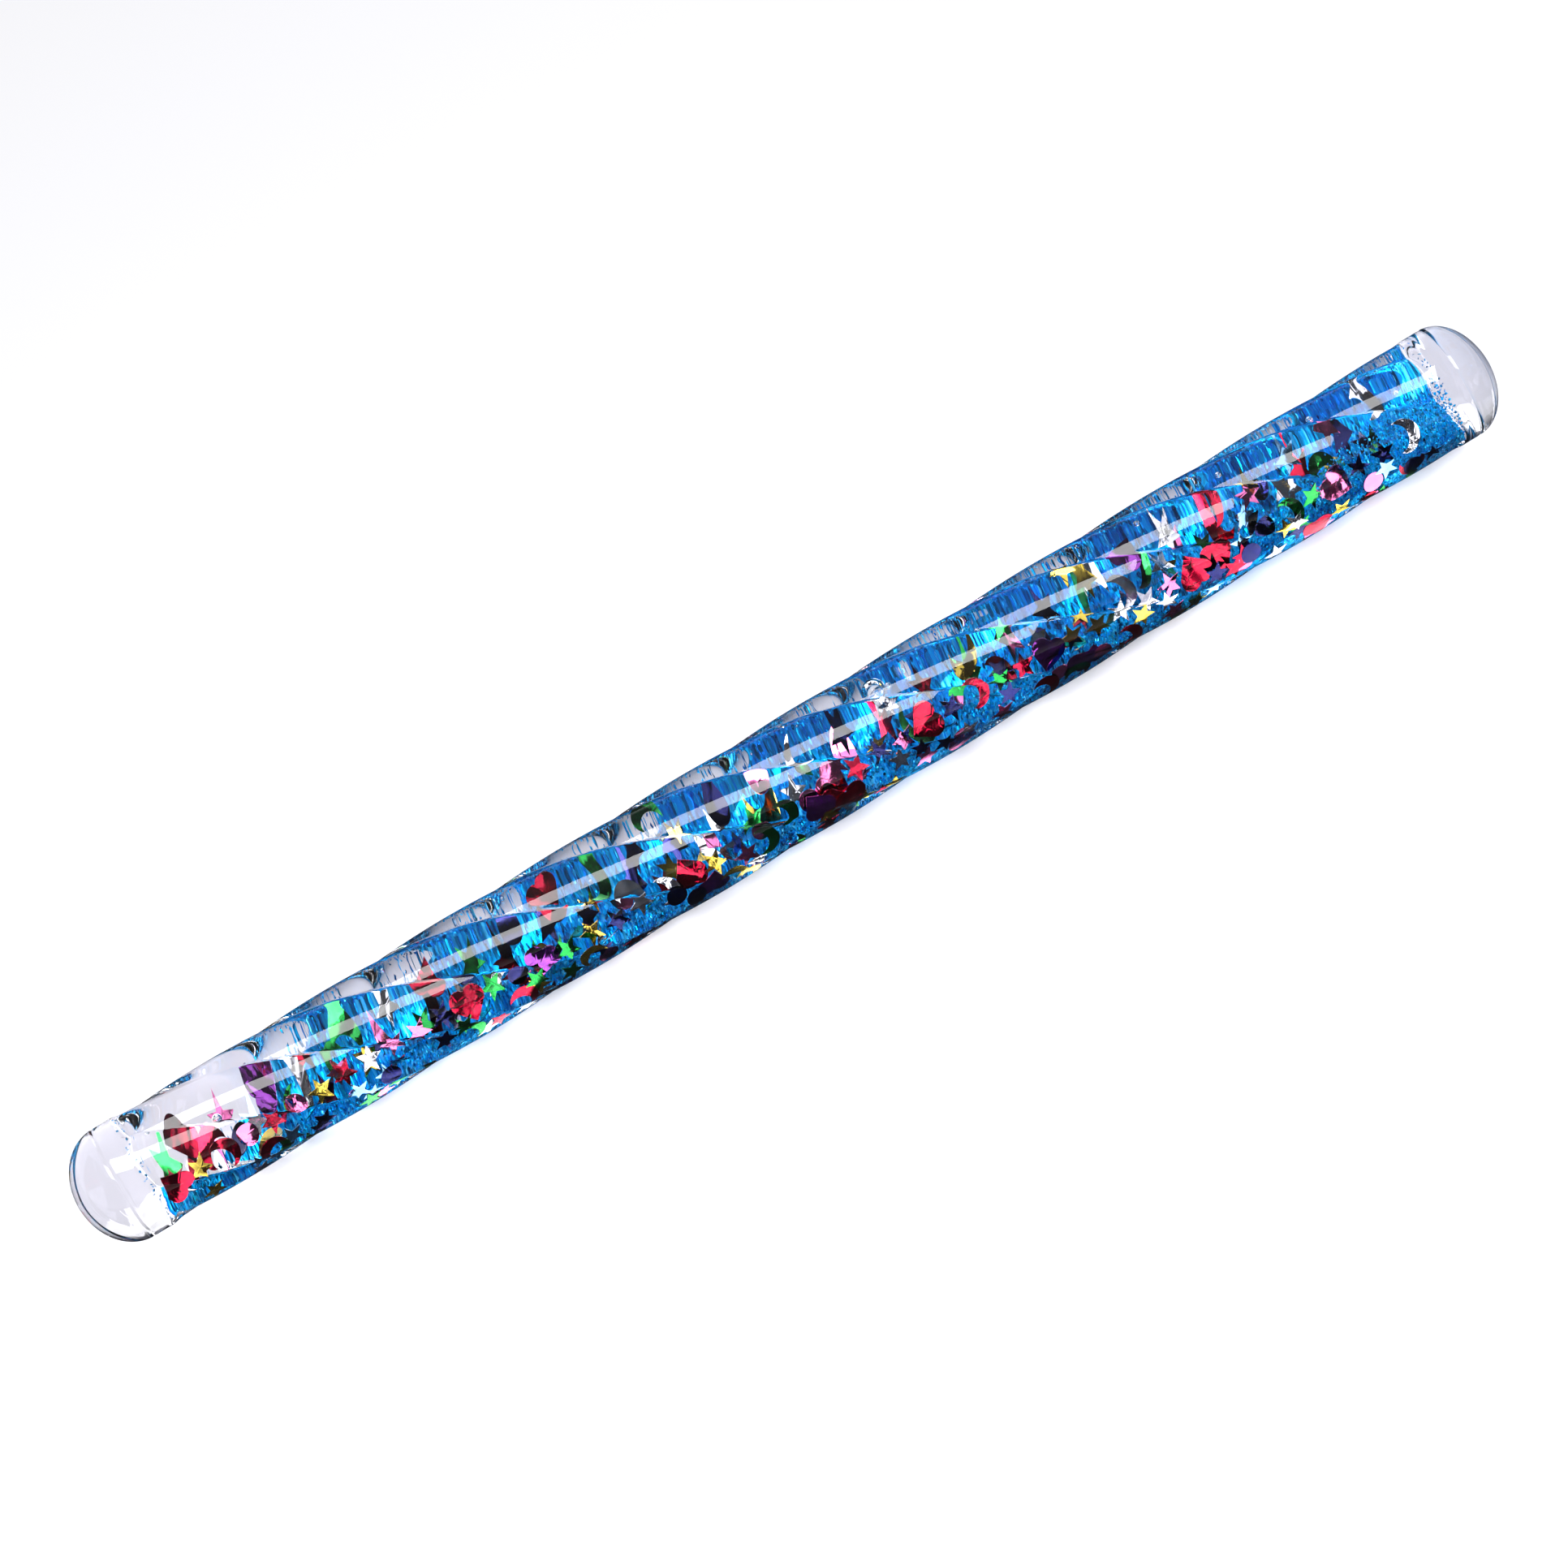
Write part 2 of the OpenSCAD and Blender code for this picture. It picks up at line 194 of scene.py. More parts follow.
class GLITTERWAND_PG_settings(bpy.types.PropertyGroup):
    acrylic: PointerProperty(type=GLITTERWAND_PG_acrylic)
    filling: PointerProperty(type=GLITTERWAND_PG_filling)
    foils: PointerProperty(type=GLITTERWAND_PG_foils)
    studio: PointerProperty(type=GLITTERWAND_PG_studio)


# ---- Node trees ----


class Wiring:
    """Adds nodes to one tree and joins them up."""

    def __init__(self, tree):
        self.tree = tree

    def add(self, kind, inputs=(), **settings):
        """A new node. Inputs are keyed by a socket's name or number, and hold a value or a socket."""
        node = self.tree.nodes.new(kind)
        for key, value in settings.items():
            setattr(node, key, value)
        for key, value in dict(inputs).items():
            self.plug(value, node.inputs[key])
        return node

    def plug(self, value, socket):
        if isinstance(value, bpy.types.NodeSocket):
            self.tree.links.new(value, socket)
        else:
            socket.default_value = value

    def math(self, operation, *values):
        return self.add("ShaderNodeMath", enumerate(values), operation=operation).outputs[0]

    def smooth_step(self, value, start, end):
        return self.add(
            "ShaderNodeMapRange",
            {"Value": value, "From Min": start, "From Max": end},
            interpolation_type="SMOOTHSTEP",
        ).outputs["Result"]


def new_tree(name, kind, inputs, outputs):
    """A node group with the named sockets. Returns it with its wiring, its inputs and its output node."""
    tree = bpy.data.node_groups.new(name, kind)
    for in_out, sockets in (("INPUT", inputs), ("OUTPUT", outputs)):
        for socket_name, socket_type in sockets.items():
            tree.interface.new_socket(socket_name, in_out=in_out, socket_type="NodeSocket" + socket_type)
    wires = Wiring(tree)
    return tree, wires, wires.add("NodeGroupInput").outputs, wires.add("NodeGroupOutput")


def apply_nodes(obj, tree, values):
    """Runs a geometry node tree on an object with the named input values, and keeps the plain mesh."""
    modifier = obj.modifiers.new(tree.name, "NODES")
    modifier.node_group = tree
    for item in tree.interface.items_tree:
        if item.in_out == "INPUT" and item.name in values:
            modifier[item.identifier] = values[item.name]
    bpy.context.view_layer.update()
    graph = bpy.context.evaluated_depsgraph_get()
    mesh = bpy.data.meshes.new_from_object(
        obj.evaluated_get(graph), preserve_all_data_layers=True, depsgraph=graph
    )
    obj.modifiers.remove(modifier)
    obj.data = mesh
    mesh.name = obj.name


# ---- Materials ----


def new_material(name):
    """A material with one Principled shader. Returns it with its wiring, shader and output node."""
    material = bpy.data.materials.new(name)
    material.use_nodes = True
    nodes = material.node_tree.nodes
    return material, Wiring(material.node_tree), nodes["Principled BSDF"], nodes["Material Output"]


def place(wires):
    """The point on the piece, in the piece's own coordinates."""
    return wires.add("ShaderNodeTexCoord").outputs["Object"]


def shared_group(name, build):
    """The shader group of that name, built the first time it is asked for."""
    return bpy.data.node_groups.get(name) or build(name)


def build_moulded_surface(name):
    """Slow waves and fine wipe marks of moulded acrylic: a height and a roughness."""
    tree, wires, given, out = new_tree(
        name,
        "ShaderNodeTree",
        {"Place": "Vector", "Roughness": "Float", "Wear": "Float"},
        {"Height": "Float", "Roughness": "Float"},
    )
    waves = wires.add("ShaderNodeTexNoise", {"Vector": given["Place"], "Scale": 130.0, "Detail": 1.0})
    wipes = wires.add("ShaderNodeTexNoise", {"Vector": given["Place"], "Scale": 900.0, "Detail": 3.0})
    wires.plug(waves.outputs["Fac"], out.inputs["Height"])
    worn = wires.math("MULTIPLY", wires.smooth_step(wipes.outputs["Fac"], 0.52, 0.8), given["Wear"])
    wires.plug(wires.math("ADD", given["Roughness"], worn), out.inputs["Roughness"])
    return tree


def build_foil_crinkle(name):
    """Dents and creases of thin foil: a height, a roughness and a shade."""
    tree, wires, given, out = new_tree(
        name,
        "ShaderNodeTree",
        {"Place": "Vector", "Roughness": "Float"},
        {"Height": "Float", "Roughness": "Float", "Shade": "Float"},
    )
    dents = wires.add("ShaderNodeTexNoise", {"Vector": given["Place"], "Scale": 420.0, "Detail": 2.0})
    creases = wires.add(
        "ShaderNodeTexVoronoi",
        {"Vector": given["Place"], "Scale": 520.0},
        feature="DISTANCE_TO_EDGE",
    )
    crease = wires.math("MULTIPLY", wires.smooth_step(creases.outputs["Distance"], 0.0, 0.12), 0.2)
    wires.plug(wires.math("ADD", dents.outputs["Fac"], crease), out.inputs["Height"])
    patches = wires.add("ShaderNodeTexNoise", {"Vector": given["Place"], "Scale": 260.0, "Detail": 2.0})
    dulled = wires.math("MULTIPLY", wires.smooth_step(patches.outputs["Fac"], 0.45, 0.75), 0.12)
    wires.plug(wires.math("ADD", given["Roughness"], dulled), out.inputs["Roughness"])
    wires.plug(wires.smooth_step(patches.outputs["Fac"], 0.3, 0.7), out.inputs["Shade"])
    return tree


def clear_material(name, tint, index, wear=0.0):
    """Clear acrylic, oil or air seen through its surface. Lamps reach what is behind it."""
    material, wires, shader, out = new_material(name)
    shader.inputs["Base Color"].default_value = (*tint, 1.0)
    shader.inputs["IOR"].default_value = index
    shader.inputs["Transmission Weight"].default_value = 1.0
    surface = wires.add("ShaderNodeGroup", node_tree=shared_group("moulded surface", build_moulded_surface))
    wires.plug(place(wires), surface.inputs["Place"])
    surface.inputs["Roughness"].default_value = 0.0
    surface.inputs["Wear"].default_value = wear
    wires.plug(surface.outputs["Roughness"], shader.inputs["Roughness"])
    bump = wires.add(
        "ShaderNodeBump", {"Height": surface.outputs["Height"], "Strength": 0.5, "Distance": 0.06 * MM}
    )
    wires.plug(bump.outputs["Normal"], shader.inputs["Normal"])
    lamps = wires.add("ShaderNodeLightPath").outputs["Is Shadow Ray"]
    clear = wires.add("ShaderNodeBsdfTransparent", {"Color": (*tint, 1.0)})
    mixed = wires.add("ShaderNodeMixShader", {0: lamps, 1: shader.outputs[0], 2: clear.outputs[0]})
    wires.plug(mixed.outputs[0], out.inputs["Surface"])
    return material


def glitter_material(settings):
    """Fine metallic blue grains, each with a colour of its own: painted shade darkens some, and a painted
    glint of pale cyan lights others.
    """
    material, wires, shader, _ = new_material("blue glitter")
    cells = wires.add("ShaderNodeTexVoronoi", {"Vector": place(wires), "Scale": 2100.0})
    pick = wires.add("ShaderNodeSeparateColor", {"Color": cells.outputs["Color"]})
    ramp = wires.add("ShaderNodeValToRGB", {"Fac": pick.outputs["Red"]})
    rgb = Vector(settings.glitter)
    # Painted shade: the darkest grains get a dark blue. Painted glints: the lightest grains get a pale cyan
    painted_shade_colour, painted_glint_colour = rgb * 0.2, (0.09, 0.64, 0.95)
    stops = ramp.color_ramp.elements
    stops[0].color = (*painted_shade_colour, 1.0)
    stops[1].color = (*painted_glint_colour, 1.0)
    for share in (0.4, 0.85):  # the grains between these shares have the plain colour
        stops.new(share).color = (*rgb, 1.0)
    wires.plug(ramp.outputs["Color"], shader.inputs["Base Color"])
    shader.inputs["Metallic"].default_value = 1.0
    rough = wires.add(
        "ShaderNodeMapRange", {"Value": pick.outputs["Green"], "To Min": 0.24, "To Max": 0.6}
    )
    wires.plug(rough.outputs["Result"], shader.inputs["Roughness"])
    bump = wires.add(
        "ShaderNodeBump", {"Height": cells.outputs["Distance"], "Strength": 0.7, "Distance": 0.12 * MM}
    )
    wires.plug(bump.outputs["Normal"], shader.inputs["Normal"])
    return material


def foil_material(name, rgb):
    """Metallised film with a thin clear lacquer."""
    material, wires, shader, _ = new_material(name)
    crinkle = wires.add("ShaderNodeGroup", node_tree=shared_group("foil crinkle", build_foil_crinkle))
    wires.plug(place(wires), crinkle.inputs["Place"])
    crinkle.inputs["Roughness"].default_value = 0.05
    tint = wires.add("ShaderNodeMix", {"Factor": crinkle.outputs["Shade"]}, data_type="RGBA")
    tint.inputs["A"].default_value = (*(Vector(rgb) * 0.72), 1.0)  # a little darker in patches
    tint.inputs["B"].default_value = (*rgb, 1.0)
    wires.plug(tint.outputs["Result"], shader.inputs["Base Color"])
    wires.plug(crinkle.outputs["Roughness"], shader.inputs["Roughness"])
    shader.inputs["Metallic"].default_value = 1.0
    shader.inputs["Coat Weight"].default_value = 0.3
    bump = wires.add(
        "ShaderNodeBump", {"Height": crinkle.outputs["Height"], "Strength": 0.35, "Distance": 0.09 * MM}
    )
    wires.plug(bump.outputs["Normal"], shader.inputs["Normal"])
    return material


# ---- Meshes ----


def round_point(x, radius, turn):
    """The point at that turn about the wand, measured from straight down towards the back."""
    return Vector((x, radius * math.sin(turn), -radius * math.cos(turn)))


def mesh_object(name, bm):
    """Turns a finished bmesh into an object in the scene."""
    mesh = bpy.data.meshes.new(name)
    bm.to_mesh(mesh)
    bm.free()
    obj = bpy.data.objects.new(name, mesh)
    bpy.context.scene.collection.objects.link(obj)
    return obj


def lathe(bm, profile, steps, closed=False):
    """Turns (x, radius) points about the wand's axis. Returns the faces of each stretch of the profile."""
    rings = []
    for x, radius in profile:
        if radius == 0:
            rings.append([bm.verts.new((x, 0, 0))])
        else:
            rings.append([bm.verts.new(round_point(x, radius, math.tau * k / steps)) for k in range(steps)])
    pairs = list(zip(rings, rings[1:]))
    if closed:
        pairs.append((rings[-1], rings[0]))
    stretches = []
    for first, second in pairs:
        faces = []
        for k in range(steps):
            corners = [first[k % len(first)], first[(k + 1) % len(first)]]
            corners += [second[(k + 1) % len(second)], second[k % len(second)]]
            faces.append(bm.faces.new(list(dict.fromkeys(corners))))
        stretches.append(faces)
    return stretches


def finish_mesh(obj, materials=()):
    """Gives a mesh its materials, and smooth shading between sharp edges."""
    for material in materials:
        obj.data.materials.append(material)
    obj.data.shade_smooth()
    obj.data.set_sharp_from_angle(angle=math.radians(35))
    return obj


def hand_over(obj, body, slot, *nodes):
    """The finished piece rides on its body and stands for its CAD nodes, which it hides. The slot is not
    used.
    """
    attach(obj, body)
    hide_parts(*nodes)


# ---- Tube and plugs ----

TUBE_STEPS, PLUG_STEPS = 168, 120  # points round the tube and round a plug


def spiral_tree():
    """Turns a plain tube's wall into twisted lobes, where its 'lobed' attribute is above 0."""
    tree, wires, given, out = new_tree(
        "spiral lobes",
        "GeometryNodeTree",
        {
            "Geometry": "Geometry",
            "Lobes": "Float",
            "Groove depth": "Float",
            "Crest radius": "Float",
            "Pitch": "Float",
            "Turn": "Float",
            "Start": "Float",
            "Outside": "Material",
            "Inside": "Material",
        },
        {"Geometry": "Geometry"},
    )
    math_node = wires.math
    spot = wires.add("ShaderNodeSeparateXYZ", {0: wires.add("GeometryNodeInputPosition").outputs[0]})
    x, y, z = spot.outputs
    squared = math_node("ADD", math_node("POWER", y, 2.0), math_node("POWER", z, 2.0))
    plain_radius = math_node("SQRT", squared)
    turn = math_node("ARCTAN2", y, math_node("MULTIPLY", z, -1.0))
    half = math_node("DIVIDE", math.pi, given["Lobes"])
    whole = math_node("MULTIPLY", half, 2.0)
    shifted = math_node("FLOORED_MODULO", math_node("ADD", turn, half), whole)
    phase = math_node("SUBTRACT", shifted, half)

    # A lobe is an arc of that radius, centred at that offset from the axis
    crest = given["Crest radius"]
    groove = math_node("SUBTRACT", crest, given["Groove depth"])
    squares = math_node("SUBTRACT", math_node("POWER", crest, 2.0), math_node("POWER", groove, 2.0))
    reach = math_node("SUBTRACT", crest, math_node("MULTIPLY", groove, math_node("COSINE", half)))
    offset = math_node("DIVIDE", squares, math_node("MULTIPLY", reach, 2.0))
    arc_radius = math_node("SUBTRACT", crest, offset)
    across = math_node("MULTIPLY", offset, math_node("SINE", phase))
    inner = math_node("SUBTRACT", math_node("POWER", arc_radius, 2.0), math_node("POWER", across, 2.0))
    along = math_node("MULTIPLY", offset, math_node("COSINE", phase))
    lobe_radius = math_node("ADD", along, math_node("SQRT", inner))

    lobed = wires.add("GeometryNodeInputNamedAttribute", {"Name": "lobed"}, data_type="FLOAT")
    share = lobed.outputs["Attribute"]
    rise = math_node("MULTIPLY", math_node("SUBTRACT", lobe_radius, plain_radius), share)
    radius = math_node("ADD", plain_radius, rise)
    turns = math_node("DIVIDE", math_node("SUBTRACT", x, given["Start"]), given["Pitch"])
    twisted = math_node("ADD", turn, math_node("MULTIPLY", turns, math.tau))
    new_turn = math_node("ADD", twisted, given["Turn"])
    new_y = math_node("MULTIPLY", radius, math_node("SINE", new_turn))
    new_z = math_node("MULTIPLY", radius, math_node("MULTIPLY", math_node("COSINE", new_turn), -1.0))
    new_place = wires.add("ShaderNodeCombineXYZ", {"X": x, "Y": new_y, "Z": new_z})

    moved = wires.add(
        "GeometryNodeSetPosition", {"Geometry": given["Geometry"], "Position": new_place.outputs[0]}
    )
    real = wires.add("GeometryNodeRealizeInstances", {"Geometry": moved.outputs[0]})
    outside = wires.add(
        "GeometryNodeSetMaterial", {"Geometry": real.outputs[0], "Material": given["Outside"]}
    )
    oiled = wires.add("GeometryNodeInputNamedAttribute", {"Name": "oiled"}, data_type="BOOLEAN")
    inside = wires.add(
        "GeometryNodeSetMaterial",
        {
            "Geometry": outside.outputs[0],
            "Selection": oiled.outputs["Attribute"],
            "Material": given["Inside"],
        },
    )
    wires.plug(inside.outputs[0], out.inputs[0])
    return tree


def collar_profile(settings):
    """The tube's outer wall from left to right, as (x, radius, share of the lobes)."""
    seam, lip = settings.joint_depth, 0.5 * MM
    end = settings.collar_length
    near_end = [(0, -seam, 0), (0.3 * lip, -0.5 * seam, 0), (lip, 0, 0), (end, 0, 0)]
    steps = 6
    for k in range(1, steps + 1):
        share = k / steps
        near_end.append((end + settings.fade_length * share, 0, share * share * (3 - 2 * share)))
    left = [(TUBE_LEFT + x, COLLAR_R + rise, share) for x, rise, share in near_end]
    right = [(TUBE_RIGHT - x, COLLAR_R + rise, share) for x, rise, share in reversed(near_end)]
    start, stop = left[-1][0], right[0][0]
    count = round((stop - start) / MM)
    middle = [(start + (stop - start) * k / count, COLLAR_R, 1.0) for k in range(1, count)]
    return left + middle + right


class GLITTERWAND_OT_tube(bpy.types.Operator):
    """Makes the clear spiral tube"""

    bl_idname = "glitter_wand.tube"
    bl_label = "Spiral tube"

    def execute(self, context):
        settings = context.scene.glitter_wand.acrylic
        outer = collar_profile(settings)
        profile = [(x, radius) for x, radius, _ in outer]
        inner_steps = 24
        span = TUBE_RIGHT - TUBE_LEFT
        profile += [(TUBE_RIGHT - span * k / inner_steps, BORE_R) for k in range(inner_steps + 1)]
        bm = bmesh.new()
        lobed = bm.verts.layers.float.new("lobed")
        oiled = bm.faces.layers.bool.new("oiled")
        stretches = lathe(bm, profile, TUBE_STEPS, closed=True)
        bm.verts.ensure_lookup_table()
        for ring, (_, _, share) in enumerate(outer):
            for k in range(TUBE_STEPS):
                bm.verts[ring * TUBE_STEPS + k][lobed] = share
        for faces in stretches[len(outer) - 1 :]:
            for face in faces:
                face[oiled] = True
        bmesh.ops.recalc_face_normals(bm, faces=bm.faces)
        tube = mesh_object("spiral_tube", bm)
        outside, inside = acrylic_materials(settings)
        apply_nodes(
            tube,
            spiral_tree(),
            {
                "Lobes": float(settings.lobe_count),
                "Groove depth": settings.groove_depth,
                "Crest radius": COLLAR_R - settings.collar_rise,
                "Pitch": settings.twist_pitch,
                "Turn": settings.lobe_turn,
                "Start": TUBE_LEFT + settings.lobe_start,
                "Outside": outside,
                "Inside": inside,
            },
        )
        finish_mesh(tube)
        hand_over(tube, WAND, "clear_acrylic", "tube")
        return {"FINISHED"}


def acrylic_materials(settings):
    """The acrylic's surface against air, and its surface against oil or cement."""
    air_index, oil_index = 1.49, 1.0136
    outside = bpy.data.materials.get("clear acrylic") or clear_material(
        "clear acrylic", settings.tint, air_index, wear=0.02
    )
    inside = bpy.data.materials.get("acrylic under oil") or clear_material(
        "acrylic under oil", (1.0, 1.0, 1.0), oil_index
    )
    return outside, inside


SPIGOT_GAP = 0.05 * MM  # round a spigot, filled with cement
FACE_CROWN = 0.8 * MM  # how far a plug's inner face bulges
SEAM_GAP = 0.01 * MM  # between a plug's flange and the tube's end
SEAM_LIP = 0.45 * MM  # length of the slope into the seam


def plug_profile(settings, base, tip, face):
    """A plug from its dome's tip to the middle of its inner face, as (x, radius) points."""
    outward = math.copysign(1, tip - base)
    spigot_r = BORE_R - SPIGOT_GAP
    steps = 20
    profile = [(tip, 0)]
    for k in range(1, steps):
        turn = math.pi / 2 * k / steps
        profile.append((base + (tip - base) * math.cos(turn), COLLAR_R * math.sin(turn)))
    flange = base + outward * SEAM_GAP
    profile += [(base + outward * SEAM_LIP, COLLAR_R), (flange, COLLAR_R - settings.joint_depth)]
    outer_count = len(profile) - 1
    profile += [(flange, spigot_r), (face + outward * FACE_CROWN, spigot_r)]
    for k in range(1, steps):
        turn = math.pi / 2 * k / steps
        sunk = FACE_CROWN * (1 - math.sin(turn))
        profile.append((face + outward * sunk, spigot_r * math.cos(turn)))
    profile.append((face, 0))
    return profile, outer_count


class GLITTERWAND_OT_plugs(bpy.types.Operator):
    """Makes the two clear domed end plugs"""

    bl_idname = "glitter_wand.plugs"
    bl_label = "End plugs"

    def execute(self, context):
        settings = context.scene.glitter_wand.acrylic
        plugs = {
            "left_end_plug": (TUBE_LEFT, LEFT_TIP, CHAMBER_LEFT),
            "right_end_plug": (TUBE_RIGHT, RIGHT_TIP, CHAMBER_RIGHT),
        }
        for node, (base, tip, face) in plugs.items():
            profile, outer_count = plug_profile(settings, base, tip, face)
            bm = bmesh.new()
            stretches = lathe(bm, profile, PLUG_STEPS)
            for faces in stretches[outer_count:]:
                for face_in_oil in faces:
                    face_in_oil.material_index = 1
            bmesh.ops.recalc_face_normals(bm, faces=bm.faces)
            plug = finish_mesh(mesh_object(node + "_dome", bm), acrylic_materials(settings))
            hand_over(plug, WAND, "clear_acrylic", node)
        return {"FINISHED"}


# ---- Oil and bubbles ----


def bubble_at(share, from_axis, degrees, radius, height_share):
    """A bubble that share of the chamber along, as its middle, its radius and its height share."""
    x = CHAMBER_LEFT + CHAMBER_LENGTH * share
    return round_point(x, from_axis, math.radians(degrees)), radius, height_share


def bubble_places(settings):
    """The large air bubble, one near the left plug, and small ones along the top of the bore."""
    rng = random.Random(settings.seed)
    bubbles = [
        bubble_at(0.573, 6.9 * MM, 176, settings.bubble_radius, 0.62),
        bubble_at(0.062, 7.6 * MM, 218, 0.9 * MM, 0.85),
    ]
    for k in range(settings.bubble_count):
        radius = rng.uniform(0.22, 0.75) * MM
        share = (k + rng.uniform(0.2, 0.8)) / settings.bubble_count
        degrees = 180 + rng.uniform(-24, 30)
        bubbles.append(bubble_at(share, OIL_R - 1.25 * radius, degrees, radius, 0.85))
    return bubbles


class GLITTERWAND_OT_oil(bpy.types.Operator):
    """Makes the clear oil, with air bubbles left in it"""

    bl_idname = "glitter_wand.oil"
    bl_label = "Oil and bubbles"

    def execute(self, context):
        settings = context.scene.glitter_wand.filling
        left, right = CHAMBER_LEFT + OIL_GAP, CHAMBER_RIGHT - OIL_GAP
        bm = bmesh.new()
        rings = 12
        wall = [(left + (right - left) * k / rings, OIL_R) for k in range(rings + 1)]
        lathe(bm, [(left, 0)] + wall + [(right, 0)], 96)
        bmesh.ops.recalc_face_normals(bm, faces=bm.faces)
        for middle, radius, squash in bubble_places(settings):
            size = Matrix.Diagonal((radius, radius, radius * squash, 1))
            made = bmesh.ops.create_icosphere(
                bm, subdivisions=3, radius=1, matrix=Matrix.Translation(middle) @ size
            )
            faces = {face for vert in made["verts"] for face in vert.link_faces}
            bmesh.ops.reverse_faces(bm, faces=list(faces))  # a bubble is a hole in the oil
            for face in faces:
                face.material_index = 1
        still = clear_material("clear oil", (1.0, 1.0, 1.0), 1.0)
        air = clear_material("air in oil", (1.0, 1.0, 1.0), 1.47)
        oil = finish_mesh(mesh_object("clear_oil", bm), (still, air))
        hand_over(oil, CONTENTS, "clear_oil", "oil_fill")
        return {"FINISHED"}


# ---- Glitter ----


def blend_between(value, start, end):
    """0 before start, 1 after end, and smooth between them."""
    share = min(max((value - start) / (end - start), 0), 1)
    return share * share * (3 - 2 * share)


def along(x):
    """How far x is along the chamber, from 0 at the left plug to 1 at the right one."""
    return (x - CHAMBER_LEFT) / CHAMBER_LENGTH


def bed_top(x, y):
    """Height of the glitter's uneven surface, which stays under the CAD bed's flat top."""
    level = BED_TOP_LEFT + (BED_TOP_RIGHT - BED_TOP_LEFT) * along(x)
    sunk = 1.9 * MM * (1 - blend_between(along(x), 0.02, 0.2))  # the clear stretch at the left end
    swell = 0.55 * MM * noise.noise(Vector((x * 110, y * 160, 3.1)))
    return level - sunk + swell - 0.25 * MM


def wall_edge(x, side):
    """How far up the wall the clinging grains reach, from straight down, in degrees."""
    share = along(x)
    if side > 0:
        reach = 30 + 50 * blend_between(share, 0.02, 0.15) + 14 * blend_between(share, 0.4, 0.9)
    else:
        reach = 22 + 26 * blend_between(share, 0.1, 0.5) + 92 * blend_between(share, 0.74, 0.97)
    return reach + 16 * noise.noise(Vector((x * 190, side * 5.0, 0.7)))


def at_plug(x, reach):
    """Whether x is within that reach of an end plug's face, which a ring of grains surrounds."""
    return min(x - CHAMBER_LEFT, CHAMBER_RIGHT - x) < reach


def dust_share(x, turn):
    """Share of the wall that grains cover at that turn from straight down."""
    edge = wall_edge(x, 1 if turn > 0 else -1)
    settled = 1 - blend_between(abs(math.degrees(turn)), edge - 14, edge + 9)
    ring = 0.4 if at_plug(x, 0.5 * MM) else 0
    return max(settled, ring)


CORE_R = BED_R - 0.6 * MM  # of the bed's core, which leaves room for flakes between it and the wall
DUST_R = BED_R - 0.05 * MM  # of the grains that cling to the wall
FRONT_R = BED_R - 2.3 * MM  # of the grains behind the flakes that lean on the front wall
CLING = 0.3 * MM  # thickness of the glitter that clings to the back wall


def core_ring(x):
    """The bed's core in section, from its front edge: points, each with its share of grains."""
    under_steps, cling_steps, top_steps = 24, 8, 14
    rim = math.acos(min(0.999, -bed_top(x, 0) / CORE_R))  # the turn at which the top meets the wall
    back_edge = max(rim + 0.02, math.radians(wall_edge(x, 1) - 6))
    ring = []
    for j in range(under_steps + 1):
        turn = -rim + (rim + back_edge) * j / under_steps
        ring.append((round_point(x, CORE_R, turn), 0.7))  # fewer grains where the wall hides them
    for j in range(cling_steps):
        turn = back_edge + (rim - back_edge) * j / cling_steps
        ring.append((round_point(x, CORE_R - CLING, turn), 1.0))
    half_width = CORE_R * math.sin(rim)
    for j in range(1, top_steps):
        y = half_width * (1 - 2 * j / top_steps)
        ring.append((Vector((x, y, bed_top(x, y))), 1.0))
    return ring


def dust_ring(x):
    """The sheet round the bed in section: points, each with its share of grains."""
    steps = 72
    ring = []
    for j in range(steps):
        turn = math.tau * (j / steps - 0.5)
        on_wall = turn > 0 or at_plug(x, 1.8 * MM)
        point = round_point(x, DUST_R if on_wall else FRONT_R, turn)
        ring.append((point, 1.1 * dust_share(x, turn)))
    return ring


def add_rings(bm, cover, rings):
    """Adds rings of points with their shares of grains. Returns them, and the faces between them."""
    added = []
    for ring in rings:
        verts = [bm.verts.new(point) for point, _ in ring]
        for vert, (_, share) in zip(verts, ring):
            vert[cover] = share
        added.append(verts)
    corners = []
    for first, second in zip(added, added[1:]):
        for j in range(len(first)):
            after = (j + 1) % len(first)
            corners.append((first[j], first[after], second[after], second[j]))
    return added, corners


def glitter_base(name, start, end):
    """The bed's closed core and a sheet round it, with how thickly grains cover each place."""
    ring_spacing = 1.2 * MM
    count = round((end - start) / ring_spacing)
    stations = [start + (end - start) * k / count for k in range(count + 1)]
    bm = bmesh.new()
    cover = bm.verts.layers.float.new("coverage")
    is_dust = bm.faces.layers.bool.new("dust")
    core, corners = add_rings(bm, cover, [core_ring(x) for x in stations])
    for around in corners + [core[0], core[-1]]:
        bm.faces.new(around)
    bmesh.ops.recalc_face_normals(bm, faces=bm.faces)
    _, corners = add_rings(bm, cover, [dust_ring(x) for x in stations])
    for first, second, third, fourth in corners:
        bm.faces.new((first, fourth, third, second))[is_dust] = True
    return mesh_object(name, bm)


